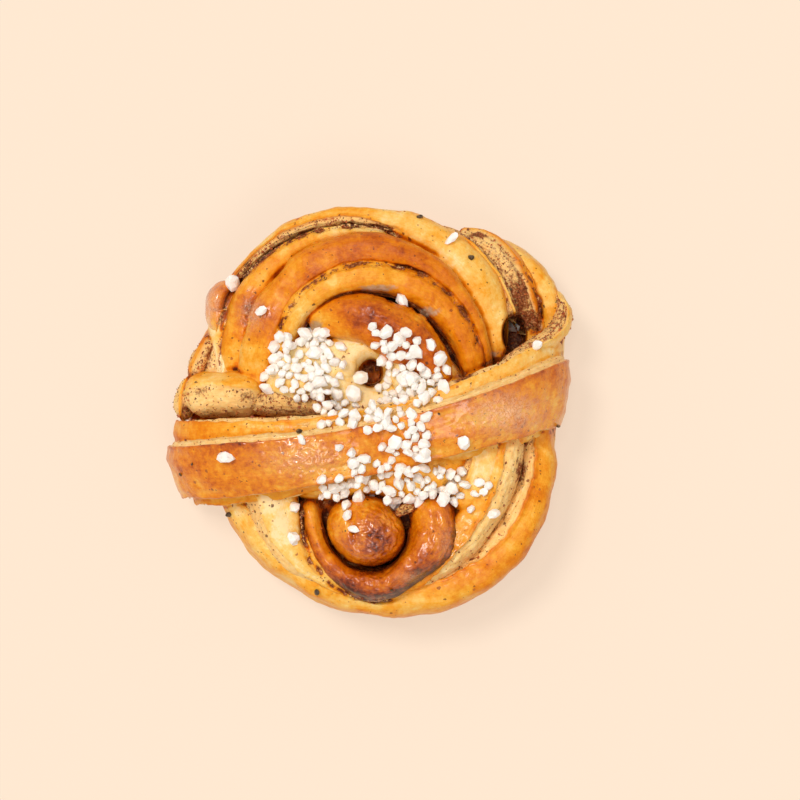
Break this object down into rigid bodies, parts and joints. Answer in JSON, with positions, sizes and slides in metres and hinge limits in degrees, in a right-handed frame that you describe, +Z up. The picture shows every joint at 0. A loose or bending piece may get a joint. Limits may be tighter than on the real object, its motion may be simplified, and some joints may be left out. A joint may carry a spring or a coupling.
{
  "type": "cinnamon bun",
  "caption": "Knotted sweet bun of layered dough turns with cinnamon filling between them, a flat strap tied over the middle and pearl sugar on top.",
  "frame": {"origin": "middle of the bun's bounding box in plan, on the plane that its flat underside rests on", "axes": "+X runs along the strap to the end that carries the wider fold, +Y to the side with the nested turns, +Z up from the table"},
  "size_m": [0.1096, 0.114, 0.0499],
  "materials": {
    "dough": "baked dough with a lightly glazed brown crust",
    "filling": "moist cinnamon and sugar"
  },
  "bodies": {
    "root": {"dough": "dough", "strap_filling": "filling", "outer_filling": "filling", "inner_filling": "filling", "right_filling": "filling", "lower_filling": "filling"}
  },
  "joints": []
}
